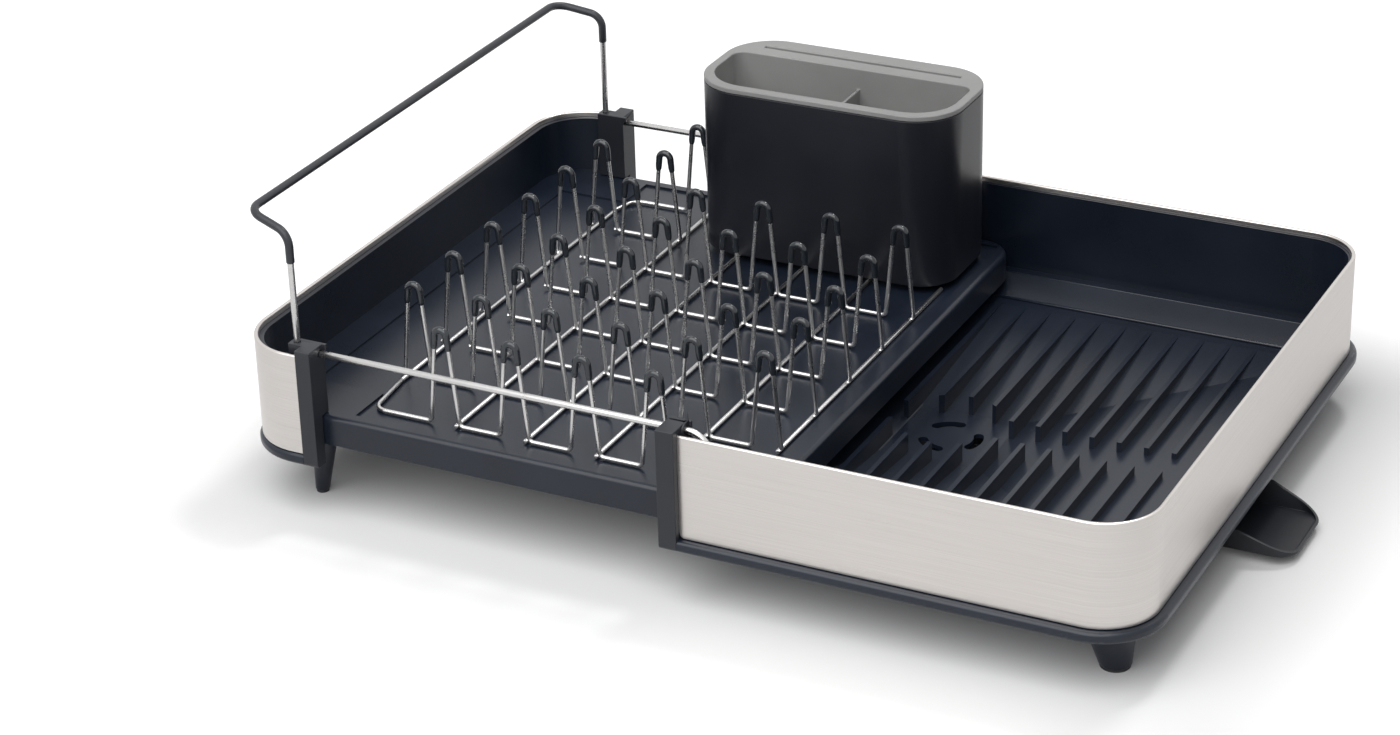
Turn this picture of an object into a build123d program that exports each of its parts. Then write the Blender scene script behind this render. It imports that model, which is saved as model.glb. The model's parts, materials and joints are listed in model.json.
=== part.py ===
"""Expandable dish rack, opened out.

A narrow tray slides over a wide drip tray. A wire plate rack, a cutlery holder
and a wire hoop lift off the narrow tray, and a spout swivels under the drain.

Frame: millimetres, +Z up. The origin is in the middle of the whole length and
depth, on the surface that the rack stands on. The wide tray is on the +X side
and the front is on the -Y side.
"""
from math import acos, atan2, cos, hypot, radians, sin, sqrt, tan
import os

from build123d import *

# Overall sizes
steel_depth = 356.0
steel_length = 498.8
slide_travel = 195.0
post_gap_closed = 4.8
wide_corner_radius = 30.0
narrow_corner_radius = 33.5
steel_top = 92.3
steel_bottom = 35.7
lip_proud = 4.0
narrow_lip_proud = 1.5
lip_bottom = 29.3
lip_height = 6.0
lip_round = 2.2

# Clearances
fit = 0.1
seat = 0.3
overrun = 20.0

# Sheet steel bands
sheet = 0.6
rim_width = 2.2
hem_height = 3.2
band_corner = 3.0

# Drip tray, the wide one
drip_wall = 2.9
drip_plate = 2.9
ledge_top = 40.0
ledge_width = 5.9
ledge_slope = 18.5
basin_margin = 36.0
basin_end_margin = 10.8
basin_start = 9.3
basin_depth = 10.7
basin_skin = 2.4
drain_from_end = 169.3
drain_flat = 28.0
drip_end_wall = 2.4

# Ribs of the drip tray
rib_count = 11
rib_pitch = 15.0
rib_width = 2.6
rib_first = 30.1
rib_channel = 10.4
rib_clear_radius = 28.0

# Drain slots
slot_radius = 14.8
slot_width = 5.4
slot_arc = 52.0
slot_angles = (0.0, 117.0, 240.0)

# Narrow tray
shelf_top = 56.5
shelf_plate = 4.2
shelf_inset = 7.0
shelf_past_posts = 247.6
shelf_round = 3.0
shelf_corner = 19.0
skirt_wall = 2.5
narrow_wall = 4.3
narrow_under_wall = 2.5
recess_depth = 1.2
recess_start = 23.5
recess_notch_end = 65.0
recess_notch_depth = 42.0
recess_margin = 14.5
recess_end_near = 12.3
recess_end_far = 7.9
recess_step = 21.0

# Posts at the open ends of the bands
post_width = 8.9
narrow_post_start = 41.0
post_top = 96.0
post_outer_depth = 6.7
post_inner_depth = 13.0
cap_start = 33.0
cap_past = 2.1
cap_thick = 3.1
wide_post_width = 9.9
wide_post_top = 95.5
wide_post_depth = 5.0
guide_height = 9.5
plate_thick = 2.0
plate_start = 2.6
plate_past = 2.4
guide_split = 1.5
guide_nose = 1.0
guide_nose_wall = 2.2

# Rails
rail_diameter = 3.5
rail_inset = 9.1
rail_height = 91.6
rail_in_post = 6.0
rail_bend = 13.4
rail_sink = 3.0
rail_boss = 5.0
rail_clearance = 0.3

# Hoop at the narrow end
hoop_wire = 3.4
hoop_coat = 4.4
hoop_leg_x = 36.5
hoop_leg_inset = 9.0
hoop_socket = 22.0
hoop_bar_rise = 6.0
hoop_bar_x = 9.4
hoop_bar_inset = 15.0
hoop_bar_height = 162.5
hoop_bend = 9.0
hoop_corner = 11.0
coat_below_bar = 22.5

# Feet
wide_foot_from_end = 21.8
wide_foot_inset = 30.7
wide_foot_top_radius = 14.7
wide_foot_tip_radius = 8.1
wide_foot_lean = -4.2
narrow_foot_x = 33.3
narrow_foot_inset = 25.8
narrow_foot_top_radius = 9.0
narrow_foot_tip_radius = 3.8
narrow_foot_lean = 6.0
pad_thick = 1.5
pad_inset = 0.4

# Spout under the drain
spout_reach = 196.5
spout_half_width = 29.5
spout_base_half_width = 25.5
spout_tip_corner = 20.0
spout_base_tip_corner = 10.0
spout_rim_reach = 167.5
spout_rim = 18.0
spout_base = 4.4
spout_wall = 1.6
spout_floor = 1.6
pivot_radius = 6.0
hub_wall = 3.0
hub_height = 11.0
running = 0.05
washer_radius = 9.0
washer_thick = 1.2
screw_head_radius = 4.0
screw_head_height = 1.8
screw_radius = 1.8
screw_length = 9.0

# Plate rack
wire = 2.4
weld = 0.05
column_first = 72.5
column_pitch = 40.7
row_first = 24.7
row_last = 39.4
column_count = 6
row_names = "abcdefgh"
prong_half_base = 8.35
prong_top = 110.2
prong_tip_radius = 3.5
foot_bend = 2.5
cross_poke = 1.5
return_length = 34.5
return_lean = 4.0
return_bend = 8.0
tail_bend = 9.0
row_tail = 0.6
tip_coat = 0.5
tip_length = 11.5

# Cutlery holder
holder_start = 133.0
holder_end = 287.3
holder_front_from_back = 90.0
holder_from_back = 11.5
holder_top = 160.0
holder_base = 59.6
holder_corner = 28.0
holder_corner_taper = 6.0
holder_side_taper = 2.5
holder_far_taper = 0.2
holder_front_taper = 0.5
holder_back_taper = 5.0
holder_wall = 2.2
holder_floor = 2.5
holder_foot_radius = 5.0
holder_foot_inset = 26.0
liner_rim = 3.2
liner_wall = 1.8
liner_gap = 0.6
liner_floor_gap = 3.0
opening_side = 5.2
opening_front = 6.4
opening_back = 24.5
opening_front_corner = 24.0
opening_back_corner = 7.0
divider_place_share = 0.52
divider_thick = 1.8
divider_drop = 12.0
knife_slot_length = 120.0
knife_slot_width = 2.8
knife_slot_inset = 13.0

# Places worked out from the sizes above
drain_from_start = steel_length - drain_from_end
whole_length = narrow_lip_proud + drain_from_start + spout_reach
left = narrow_lip_proud - whole_length / 2
right = left + steel_length
half = steel_depth / 2
drain_x = left + drain_from_start
wall_skin = sheet + fit
wall_top = steel_top - sheet - fit
narrow_post_x = left + narrow_post_start
narrow_post_end = narrow_post_x + post_width
wide_post_x = narrow_post_end + slide_travel + post_gap_closed
wide_post_end = wide_post_x + wide_post_width
drip_floor = lip_bottom + drip_plate
basin_floor = drip_floor - basin_depth
drip_inset = wall_skin + drip_wall
shelf_end = narrow_post_end + shelf_past_posts
shelf_half = half - shelf_inset
recess_floor = shelf_top - recess_depth
cross_z = recess_floor + seat + wire / 2
row_z = cross_z
rail_y = half - rail_inset
bend_x = wide_post_end + guide_nose
rail_foot_x = bend_x + rail_bend
hoop_leg_top = hoop_bar_height - hoop_bar_rise
coat_start = hoop_bar_height - coat_below_bar
row_pitch = (steel_depth - row_first - row_last) / (len(row_names) - 1)
sides = (-1, 1)
side_names = {-1: "front", 1: "back"}

os.makedirs("parts", exist_ok=True)


def save(name, part):
    """Label a finished piece and write it to its own file."""
    part.label = name
    export_step(part, f"parts/{name}.step")


def end_outline(open_x, end_x, half_width, radius):
    """Outline of one end of the rack: square at open_x, rounded at end_x."""
    with BuildSketch(mode=Mode.PRIVATE) as outline:
        with Locations(((open_x + end_x) / 2, 0)):
            Rectangle(abs(end_x - open_x), 2 * half_width)
        ordered = outline.vertices().sort_by(Axis.X)
        corners = ordered[-2:] if end_x > open_x else ordered[:2]
        fillet(corners, radius)
    return outline.sketch


def inset_outline(open_x, end_x, inset):
    """The rack's outline moved in by inset, or out where inset is negative."""
    toward = -1 if end_x > open_x else 1
    radius = wide_corner_radius if end_x > open_x else narrow_corner_radius
    return end_outline(open_x, end_x + toward * inset, half - inset, radius - inset)


def upright(outline, bottom, top):
    """A private solid that stands on an outline, from bottom to top."""
    with BuildPart(mode=Mode.PRIVATE) as solid:
        with BuildSketch(Plane.XY.offset(bottom)):
            add(outline)
        extrude(amount=top - bottom)
    return solid.part


def box_between(x_range, y_range, z_range):
    """A private box between two corners."""
    size = [high - low for low, high in (x_range, y_range, z_range)]
    with BuildPart(mode=Mode.PRIVATE) as solid:
        with Locations([(sum(x_range) / 2, sum(y_range) / 2, sum(z_range) / 2)]):
            Box(*size)
    return solid.part


def lip_slab(open_x, end_x, proud):
    """Solid slab as high as the lip, with a rounded rim all round the closed end."""
    toward = 1 if end_x > open_x else -1
    with BuildPart(mode=Mode.PRIVATE) as slab:
        with BuildSketch(Plane.XY.offset(lip_bottom)):
            add(inset_outline(open_x - toward * overrun, end_x, -proud))
        extrude(amount=lip_height)
        rims = slab.edges().group_by(Axis.Z)
        fillet(rims[0] + rims[-1], lip_round)
        keep = Keep.TOP if toward > 0 else Keep.BOTTOM
        split(bisect_by=Plane.YZ.offset(open_x), keep=keep)
    return slab.part


def steel_band(open_x, end_x, rounded):
    """Bent sheet round one end, with its top rim folded in and down over the wall."""
    toward = 1 if end_x > open_x else -1
    past = open_x - toward * overrun
    with BuildPart() as band:
        with BuildSketch(Plane.XY.offset(steel_bottom)):
            add(inset_outline(open_x, end_x, 0))
            add(inset_outline(past, end_x, sheet), mode=Mode.SUBTRACT)
        extrude(amount=steel_top - steel_bottom)
        with BuildSketch(Plane.XY.offset(steel_top - sheet)):
            add(inset_outline(open_x, end_x, 0))
            add(inset_outline(past, end_x, rim_width), mode=Mode.SUBTRACT)
        extrude(amount=sheet)
        with BuildSketch(Plane.XY.offset(steel_top - hem_height)):
            add(inset_outline(open_x, end_x, rim_width - sheet))
            add(inset_outline(past, end_x, rim_width), mode=Mode.SUBTRACT)
        extrude(amount=hem_height)
        if rounded:
            end_edges = band.edges().filter_by(Axis.Y).group_by(Axis.X)[0 if toward > 0 else -1]
            fillet(end_edges.group_by(Axis.Z)[0], band_corner)
    return band.part


def hem_room(open_x, end_x):
    """Private solid that leaves a thin tongue of the wall inside the hem when it is cut away."""
    past = open_x - overrun if end_x > open_x else open_x + overrun
    tongue_inset = rim_width - sheet - fit
    bottom = steel_top - hem_height - fit
    return upright(inset_outline(past, end_x, tongue_inset), bottom, steel_top + overrun)


# Drip tray: plate, lip, walls, ledges and a basin that falls to the drain
basin_x = (wide_post_x + basin_start, right - basin_end_margin)
basin_half = half - basin_margin


def basin(drop, widen):
    """The basin's shape from rim to drain, lowered by drop and widened at the drain."""
    with BuildPart(mode=Mode.PRIVATE) as hollow:
        with BuildSketch(Plane.XY.offset(drip_floor - drop)):
            with Locations((sum(basin_x) / 2, 0)):
                Rectangle(basin_x[1] - basin_x[0], 2 * basin_half)
        with BuildSketch(Plane.XY.offset(basin_floor - drop)):
            with Locations((drain_x, 0)):
                Rectangle(2 * (drain_flat + widen), 2 * (drain_flat + widen))
        loft(ruled=True)
    return hollow.part


room = upright(
    inset_outline(wide_post_x - overrun, right, drip_inset), drip_floor, steel_top + overrun
)
ledge_end = half - drip_inset - ledge_width
slope_end = ledge_end - ledge_slope
with BuildPart() as above_ledges:
    with BuildSketch(Plane.YZ.offset(wide_post_x - overrun)):
        with BuildLine():
            Polyline(
                (-half, ledge_top),
                (-ledge_end, ledge_top),
                (-slope_end, drip_floor),
                (slope_end, drip_floor),
                (ledge_end, ledge_top),
                (half, ledge_top),
                (half, steel_top + overrun),
                (-half, steel_top + overrun),
                close=True,
            )
        make_face()
    extrude(amount=steel_length)
    add(room, mode=Mode.INTERSECT)

with BuildPart() as ribs:
    with Locations((drain_x - rib_first, 0, (basin_floor - basin_skin + drip_floor) / 2)):
        for index in range(rib_count):
            with Locations((index * rib_pitch, 0, 0)):
                Box(rib_width, 2 * basin_half, basin_depth + basin_skin)
    with Locations((drain_x, 0, drip_floor)):
        Box(steel_length, 2 * rib_channel, 2 * steel_top, mode=Mode.SUBTRACT)
        Cylinder(rib_clear_radius, 2 * steel_top, mode=Mode.SUBTRACT)
    with BuildPart(mode=Mode.PRIVATE) as under_limit:
        add(basin(basin_skin, drip_wall))
        add(box_between(basin_x, (-basin_half, basin_half), (drip_floor - basin_skin, drip_floor)))
    add(under_limit.part, mode=Mode.INTERSECT)

slot_arcs = [
    CenterArc((drain_x, 0), slot_radius, angle - slot_arc / 2, slot_arc) for angle in slot_angles
]
with BuildPart() as outer_tray:
    add(lip_slab(wide_post_x, right, lip_proud))
    add(upright(inset_outline(wide_post_x, right, wall_skin), lip_bottom, wall_top))
    add(above_ledges.part, mode=Mode.SUBTRACT)
    add(hem_room(wide_post_x, right), mode=Mode.SUBTRACT)
    add(
        box_between(
            (wide_post_x, wide_post_x + drip_end_wall), (-slope_end, slope_end), (drip_floor, ledge_top)
        )
    )
    add(basin(basin_skin, drip_wall))
    add(basin(0, 0), mode=Mode.SUBTRACT)
    add(ribs.part)
    with BuildSketch(Plane.XY.offset(basin_floor)):
        for arc in slot_arcs:
            SlotArc(arc, slot_width)
    extrude(amount=-basin_skin - fit, mode=Mode.SUBTRACT)
    with Locations((drain_x, 0, basin_floor - basin_skin)):
        Cylinder(
            pivot_radius,
            basin_floor - basin_skin - spout_base + seat,
            align=(Align.CENTER, Align.CENTER, Align.MAX),
        )
    with Locations((drain_x, 0, spout_base - seat)):
        Cylinder(
            screw_radius, screw_length, align=(Align.CENTER, Align.CENTER, Align.MIN), mode=Mode.SUBTRACT
        )
    for side in sides:
        reach = sorted((side * (half - wide_post_depth - seat), side * (half + overrun)))
        notch = (wide_post_x - overrun, wide_post_end + fit)
        add(box_between(notch, reach, (0, steel_top + overrun)), mode=Mode.SUBTRACT)
save("outer_tray", outer_tray.part)

save("outer_steel_band", steel_band(wide_post_end + fit, right, True))


# Narrow tray: rounded end with walls, and a shelf that rides on the ledges
wall_part = upright(inset_outline(narrow_post_x, left, wall_skin), lip_bottom, wall_top)
narrow_inset = wall_skin + narrow_wall
with BuildPart() as shelf:
    with BuildSketch(Plane.XY.offset(ledge_top + seat)):
        add(end_outline(narrow_post_x - overrun, shelf_end, shelf_half, shelf_corner))
    extrude(amount=shelf_top - ledge_top - seat)
    top_edges = shelf.edges().group_by(Axis.Z)[-1].sort_by(Axis.X)[1:]
    fillet(top_edges, shelf_round)
with BuildPart() as inner_tray:
    add(lip_slab(narrow_post_x, left, narrow_lip_proud))
    add(wall_part)
    add(
        upright(
            inset_outline(narrow_post_x + overrun, left, narrow_inset), shelf_top, steel_top + overrun
        ),
        mode=Mode.SUBTRACT,
    )
    add(hem_room(narrow_post_x, left), mode=Mode.SUBTRACT)
    add(shelf.part)
    under = shelf_top - shelf_plate
    add(
        upright(inset_outline(narrow_post_x, left, wall_skin + narrow_under_wall), -overrun, under),
        mode=Mode.SUBTRACT,
    )
    add(
        upright(
            end_outline(
                narrow_post_x - overrun,
                shelf_end - skirt_wall,
                shelf_half - skirt_wall,
                shelf_corner - skirt_wall,
            ),
            -overrun,
            under,
        ),
        mode=Mode.SUBTRACT,
    )
    recess_half = half - recess_margin
    recess_left = left + recess_start
    notch_x = left + recess_notch_end
    notch_y = half - recess_notch_depth
    with BuildSketch(Plane.XY.offset(recess_floor)):
        with Locations((0, 0)):
            with BuildLine():
                Polyline(
                    (recess_left, -notch_y),
                    (notch_x, -notch_y),
                    (notch_x, -recess_half),
                    (shelf_end - recess_end_near, -recess_half),
                    (shelf_end - recess_end_near, -recess_step),
                    (shelf_end - recess_end_far, -recess_step),
                    (shelf_end - recess_end_far, recess_half),
                    (notch_x, recess_half),
                    (notch_x, notch_y),
                    (recess_left, notch_y),
                    close=True,
                )
            make_face()
    extrude(amount=recess_depth + fit, mode=Mode.SUBTRACT)
    for side in sides:
        boss_y = sorted((side * (shelf_half - skirt_wall / 2), side * (rail_y - rail_boss)))
        boss_x = (rail_foot_x - rail_boss, rail_foot_x + rail_boss)
        add(box_between(boss_x, boss_y, (under - rail_boss, under)))
        with Locations((rail_foot_x, side * rail_y, under - rail_sink - seat)):
            Cylinder(
                rail_diameter / 2 + running,
                overrun,
                align=(Align.CENTER, Align.CENTER, Align.MIN),
                mode=Mode.SUBTRACT,
            )
save("inner_tray", inner_tray.part)

save("inner_steel_band", steel_band(narrow_post_x - fit, left, False))


def post_face(x_range, front, depth, top):
    """Outer block of a front post, with its foot rounded like the lip beside it."""
    with BuildPart(mode=Mode.PRIVATE) as face:
        add(box_between(x_range, (front, front + depth), (lip_bottom, top)))
        lengthwise = face.edges().filter_by(Axis.X).sort_by(Axis.Y)[:2]
        fillet(lengthwise.sort_by(Axis.Z)[0], lip_round)
        fillet(face.edges().filter_by(Axis.X).group_by(Axis.Z)[-1].sort_by(Axis.Y)[0], sheet)
    return face.part


def narrow_post():
    """Front post of the narrow tray: closes the band, holds the rail and the hoop."""
    front = -half
    inner_y = (front + narrow_inset + seat, front + post_inner_depth)
    with BuildPart() as post:
        face_depth = narrow_lip_proud + post_outer_depth
        add(post_face((narrow_post_x, narrow_post_end), front - narrow_lip_proud, face_depth, post_top))
        add(box_between((left + cap_start, narrow_post_end), inner_y, (shelf_top + seat, post_top)))
        cap_z = (post_top - cap_thick, post_top)
        add(box_between((narrow_post_x, narrow_post_end), (front, inner_y[1]), cap_z))
        tab_y = (-rail_y + rail_diameter / 2 + rail_clearance, inner_y[1])
        add(box_between((narrow_post_end, narrow_post_end + cap_past), tab_y, cap_z))
        with Locations((left + hoop_leg_x, front + hoop_leg_inset, post_top)):
            Cylinder(
                hoop_wire / 2 + running,
                hoop_socket,
                align=(Align.CENTER, Align.CENTER, Align.MAX),
                mode=Mode.SUBTRACT,
            )
        with BuildSketch(Plane.YZ.offset(narrow_post_end - rail_in_post)):
            with Locations((-rail_y, rail_height)):
                Circle(rail_diameter / 2 + running)
        extrude(amount=overrun, mode=Mode.SUBTRACT)
    return post.part


def wide_post():
    """Front post of the drip tray: closes the band and guides the rail."""
    front = -half
    plate_y = -rail_y + rail_diameter / 2 + rail_clearance + plate_thick
    guide_z = (wide_post_top - guide_height, wide_post_top)
    clear_shelf = shelf_top + 2 * seat
    slot_half = rail_diameter / 2 + rail_clearance
    post_x = (wide_post_x, wide_post_end)
    with BuildPart() as post:
        add(post_face(post_x, front - lip_proud, lip_proud + wide_post_depth, wide_post_top))
        add(box_between(post_x, (front, plate_y), guide_z))
        plate_x = (wide_post_x + plate_start, wide_post_end + plate_past)
        add(box_between(plate_x, (plate_y - plate_thick, plate_y), (clear_shelf, wide_post_top)))
        with BuildSketch(Plane.YZ.offset(wide_post_end)):
            with Locations((-rail_y, rail_height)):
                Circle(slot_half + guide_nose_wall)
        extrude(amount=guide_nose)
        split_x = (wide_post_x - overrun, wide_post_end)
        split_y = (-rail_y + slot_half - guide_split, -rail_y + slot_half)
        add(box_between(split_x, split_y, (rail_height, wide_post_top + overrun)), mode=Mode.SUBTRACT)
        with BuildSketch(Plane.YZ.offset(wide_post_x - overrun)):
            with Locations((-rail_y, rail_height)):
                Circle(slot_half)
        extrude(amount=2 * overrun + wide_post_width, mode=Mode.SUBTRACT)
    return post.part


for name, front_post in (("inner", narrow_post()), ("outer", wide_post())):
    save(f"{name}_front_post", front_post)
    save(f"{name}_back_post", mirror(front_post, about=Plane.XZ))


def swept(path, diameter):
    """A round wire along a path."""
    with BuildPart() as rod:
        with BuildSketch(Plane(origin=path @ 0, z_dir=path % 0)):
            Circle(diameter / 2)
        sweep(path=path)
    return rod.part


# Rails: fixed in the narrow posts, bent down into the shelf at their other end
rail_start = narrow_post_end - rail_in_post
rail_foot_z = under - rail_sink
for side in sides:
    y = side * rail_y
    with BuildLine(Plane.XZ.offset(-y)) as rail_path:
        Line((rail_start, rail_height), (bend_x, rail_height))
        JernArc((bend_x, rail_height), (1, 0), rail_bend, -90)
        Line(rail_path.line @ 1, (rail_foot_x, rail_foot_z))
    save(f"{side_names[side]}_rail", swept(rail_path.line, rail_diameter))


# Hoop: one wire with a soft coat on all but the feet of its legs
def hoop_path(foot_z):
    """Path of the hoop, with both legs starting at foot_z."""
    leg_y = half - hoop_leg_inset
    bar_y = half - hoop_bar_inset
    leg_x = left + hoop_leg_x
    bar_x = left + hoop_bar_x
    with BuildLine(mode=Mode.PRIVATE) as path:
        FilletPolyline(
            (leg_x, -leg_y, foot_z),
            (leg_x, -leg_y, hoop_leg_top),
            (bar_x, -bar_y, hoop_bar_height),
            (bar_x, bar_y, hoop_bar_height),
            (leg_x, leg_y, hoop_leg_top),
            (leg_x, leg_y, foot_z),
            radius=[hoop_bend, hoop_corner, hoop_corner, hoop_bend],
        )
    return path.line


socket_floor = post_top - hoop_socket
save("side_hoop_wire", swept(hoop_path(socket_floor + seat), hoop_wire))
coat_path = hoop_path(coat_start)
with BuildPart() as coat:
    with BuildSketch(Plane(origin=coat_path @ 0, z_dir=coat_path % 0)):
        Circle(hoop_coat / 2)
        Circle(hoop_wire / 2 + running, mode=Mode.SUBTRACT)
    sweep(path=coat_path)
save("side_hoop_sleeve", coat.part)


# Feet and pads
def foot(x, y, top, top_radius, tip_radius, lean_in):
    """A tapered foot that stops where its pad starts, with its top moved by lean_in."""
    with BuildPart() as leg:
        with BuildSketch(Plane.XY.offset(pad_thick)):
            with Locations((x, y)):
                Circle(tip_radius)
        with BuildSketch(Plane.XY.offset(top)):
            with Locations((x + lean_in, y)):
                Circle(top_radius)
        loft()
    return leg.part


def pad(x, y, tip_radius):
    """A flat round pad under a foot."""
    with BuildPart() as disc:
        with Locations((x, y, 0)):
            Cylinder(tip_radius - pad_inset, pad_thick, align=(Align.CENTER, Align.CENTER, Align.MIN))
    return disc.part


for side in sides:
    wide_x = right - wide_foot_from_end
    wide_y = side * (half - wide_foot_inset)
    narrow_x = left + narrow_foot_x
    narrow_y = side * (half - narrow_foot_inset)
    place = side_names[side]
    wide_sizes = (wide_foot_top_radius, wide_foot_tip_radius, wide_foot_lean)
    narrow_sizes = (narrow_foot_top_radius, narrow_foot_tip_radius, narrow_foot_lean)
    save(f"outer_{place}_foot", foot(wide_x, wide_y, lip_bottom, *wide_sizes))
    save(f"outer_{place}_pad", pad(wide_x, wide_y, wide_foot_tip_radius))
    save(f"inner_{place}_foot", foot(narrow_x, narrow_y, under, *narrow_sizes))
    save(f"inner_{place}_pad", pad(narrow_x, narrow_y, narrow_foot_tip_radius))


# Spout: an open scoop that turns about the drain
def scoop(bottom, top, shrink):
    """The spout's shape between two heights, moved in by shrink on all its sides."""
    slope = (spout_half_width - spout_base_half_width) / (spout_rim - spout_base)
    corner_slope = (spout_tip_corner - spout_base_tip_corner) / (spout_rim - spout_base)
    with BuildPart(mode=Mode.PRIVATE) as dish:
        for height in (bottom, top):
            half_width = spout_base_half_width + slope * (height - spout_base) - shrink
            tip_corner = spout_base_tip_corner + corner_slope * (height - spout_base) - shrink
            with BuildSketch(Plane.XY.offset(height)) as outline:
                with Locations((drain_x, 0)):
                    Circle(half_width)
                with Locations((drain_x + (spout_reach - shrink) / 2, 0)):
                    Rectangle(spout_reach - shrink, 2 * half_width)
                fillet(outline.vertices().group_by(Axis.X)[-1], tip_corner)
        loft()
    return dish.part


with BuildPart() as drain_spout:
    add(scoop(spout_base, spout_rim, 0))
    base_edges = drain_spout.faces().sort_by(Axis.Z)[0].edges()
    fillet(base_edges, spout_floor)
    add(scoop(spout_base + spout_floor, spout_rim, spout_wall), mode=Mode.SUBTRACT)
    with BuildSketch(Plane.XZ):
        with BuildLine():
            Polyline(
                (drain_x + spout_rim_reach, spout_rim),
                (drain_x + spout_reach, spout_base + spout_floor),
                (drain_x + spout_reach + overrun, spout_base + spout_floor),
                (drain_x + spout_reach + overrun, spout_rim + overrun),
                (drain_x + spout_rim_reach, spout_rim + overrun),
                close=True,
            )
        make_face()
    extrude(amount=spout_half_width + overrun, both=True, mode=Mode.SUBTRACT)
    with Locations((drain_x, 0, spout_base)):
        Cylinder(
            pivot_radius + running + hub_wall, hub_height, align=(Align.CENTER, Align.CENTER, Align.MIN)
        )
        Cylinder(pivot_radius + running, 2 * steel_top, mode=Mode.SUBTRACT)
save("drain_spout", drain_spout.part)

washer_top = spout_base - seat
with BuildPart() as washer:
    with Locations((drain_x, 0, washer_top)):
        Cylinder(washer_radius, washer_thick, align=(Align.CENTER, Align.CENTER, Align.MAX))
        Cylinder(screw_radius + fit, 2 * washer_thick, mode=Mode.SUBTRACT)
save("spout_washer", washer.part)

with BuildPart() as screw:
    with Locations((drain_x, 0, washer_top - washer_thick)):
        Cylinder(screw_head_radius, screw_head_height, align=(Align.CENTER, Align.CENTER, Align.MAX))
        Cylinder(
            screw_radius - running,
            screw_length,
            align=(Align.CENTER, Align.CENTER, Align.MIN),
        )
save("spout_screw", screw.part)


# Plate rack: rows of bent prongs welded over straight cross wires
columns = [left + column_first + index * column_pitch for index in range(column_count)]
rows = {name: -half + row_first + index * row_pitch for index, name in enumerate(row_names)}
row_columns = {
    "a": range(1, 5),
    "b": range(column_count),
    "c": range(column_count),
    "d": range(column_count),
    "e": range(column_count),
    "f": range(column_count),
    "g": range(2),
    "h": range(1, 2),
}

tip_centre_z = prong_top - prong_tip_radius
prong_rise = tip_centre_z - row_z
prong_span = hypot(prong_half_base, prong_rise)
lean = acos(prong_tip_radius / prong_span) - atan2(prong_rise, prong_half_base)
bend_setback = foot_bend * tan((radians(90) - lean) / 2)
bend_centre_x = prong_half_base + bend_setback
bend_centre_z = row_z + foot_bend
weld_reach = foot_bend + wire + weld
cross_offset = bend_centre_x - sqrt(weld_reach**2 - (bend_centre_z - cross_z) ** 2)
end_leg_z = cross_z + (1 + sin(lean)) * wire / 2 + weld
end_leg_x = prong_half_base - (end_leg_z - row_z) * tan(lean)


def prong(x, last):
    """One prong about x from its left foot bend, ending on a cross wire where it is the last."""
    tip = (x, tip_centre_z)
    touch_x = prong_tip_radius * cos(lean)
    touch_z = tip_centre_z + prong_tip_radius * sin(lean)
    knee_x = prong_half_base - bend_setback * sin(lean)
    knee_z = row_z + bend_setback * cos(lean)
    middle = (radians(90) - lean) / 2
    bow_x = bend_centre_x - foot_bend * sin(middle)
    bow_z = bend_centre_z - foot_bend * cos(middle)
    ThreePointArc((x - bend_centre_x, row_z), (x - bow_x, bow_z), (x - knee_x, knee_z))
    Line((x - knee_x, knee_z), (x - touch_x, touch_z))
    ThreePointArc((x - touch_x, touch_z), (tip[0], tip[1] + prong_tip_radius), (x + touch_x, touch_z))
    if last:
        Line((x + touch_x, touch_z), (x + end_leg_x, end_leg_z))
    else:
        Line((x + touch_x, touch_z), (x + knee_x, knee_z))
        ThreePointArc((x + knee_x, knee_z), (x + bow_x, bow_z), (x + bend_centre_x, row_z))


def row_wire(name):
    """One row of prongs, with the straight runs between them."""
    y = rows[name]
    used = [columns[index] for index in row_columns[name]]
    with BuildLine(Plane.XZ.offset(-y), mode=Mode.PRIVATE) as path:
        for index, x in enumerate(used):
            last = index + 1 == len(used)
            prong(x, last)
            if not last:
                Line((x + bend_centre_x, row_z), (used[index + 1] - bend_centre_x, row_z))
        if name not in "ah":
            Line((used[0] - bend_centre_x - row_tail, row_z), (used[0] - bend_centre_x, row_z))
    return path


end_cross_x = columns[0] - cross_offset
end_cross_start = rows["a"] + return_length
end_cross_back = rows["h"] - return_length / 2


def returned_row(name):
    """A row that starts on the end cross wire and rounds the rack's corner."""
    y = rows[name]
    if name == "a":
        start = (end_cross_x, end_cross_start - seat, row_z)
        corner = (end_cross_x + return_lean, y, row_z)
        bend = return_bend
    else:
        start = (end_cross_x, end_cross_back + seat, row_z)
        corner = (end_cross_x + return_lean, y, row_z)
        bend = tail_bend
    first = columns[row_columns[name][0]] - bend_centre_x
    with BuildLine(mode=Mode.PRIVATE) as path:
        FilletPolyline(start, corner, (first, y, row_z), radius=bend)
    return path.line


def joined(first, second):
    """One wire from two paths that meet end to end."""
    return Wire(first.edges() + second.edges())


for name in row_names:
    prong_path = row_wire(name)
    if name in "ah":
        full_path = joined(returned_row(name), prong_path.line)
    else:
        full_path = Wire(prong_path.line.edges())
    with BuildPart() as row:
        with BuildSketch(Plane(origin=full_path @ 0, z_dir=full_path % 0)):
            Circle(wire / 2)
        sweep(path=full_path)
    save(f"rack_row_{name}", row.part)

cross_front = {0: end_cross_start, column_count - 1: rows["b"] - cross_poke}
cross_back = {0: end_cross_back, 1: rows["h"] + cross_poke}
for index, x in enumerate(columns):
    offset_x = -cross_offset if index == 0 else cross_offset
    start_y = cross_front.get(index, rows["a"] - cross_poke)
    end_y = cross_back.get(index, rows["g"] + cross_poke)
    with BuildPart() as cross_wire:
        with BuildSketch(Plane(origin=(x + offset_x, start_y, cross_z), z_dir=(0, 1, 0))):
            Circle(wire / 2)
        extrude(amount=end_y - start_y)
    save(f"rack_cross_wire_{index + 1}", cross_wire.part)


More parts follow.
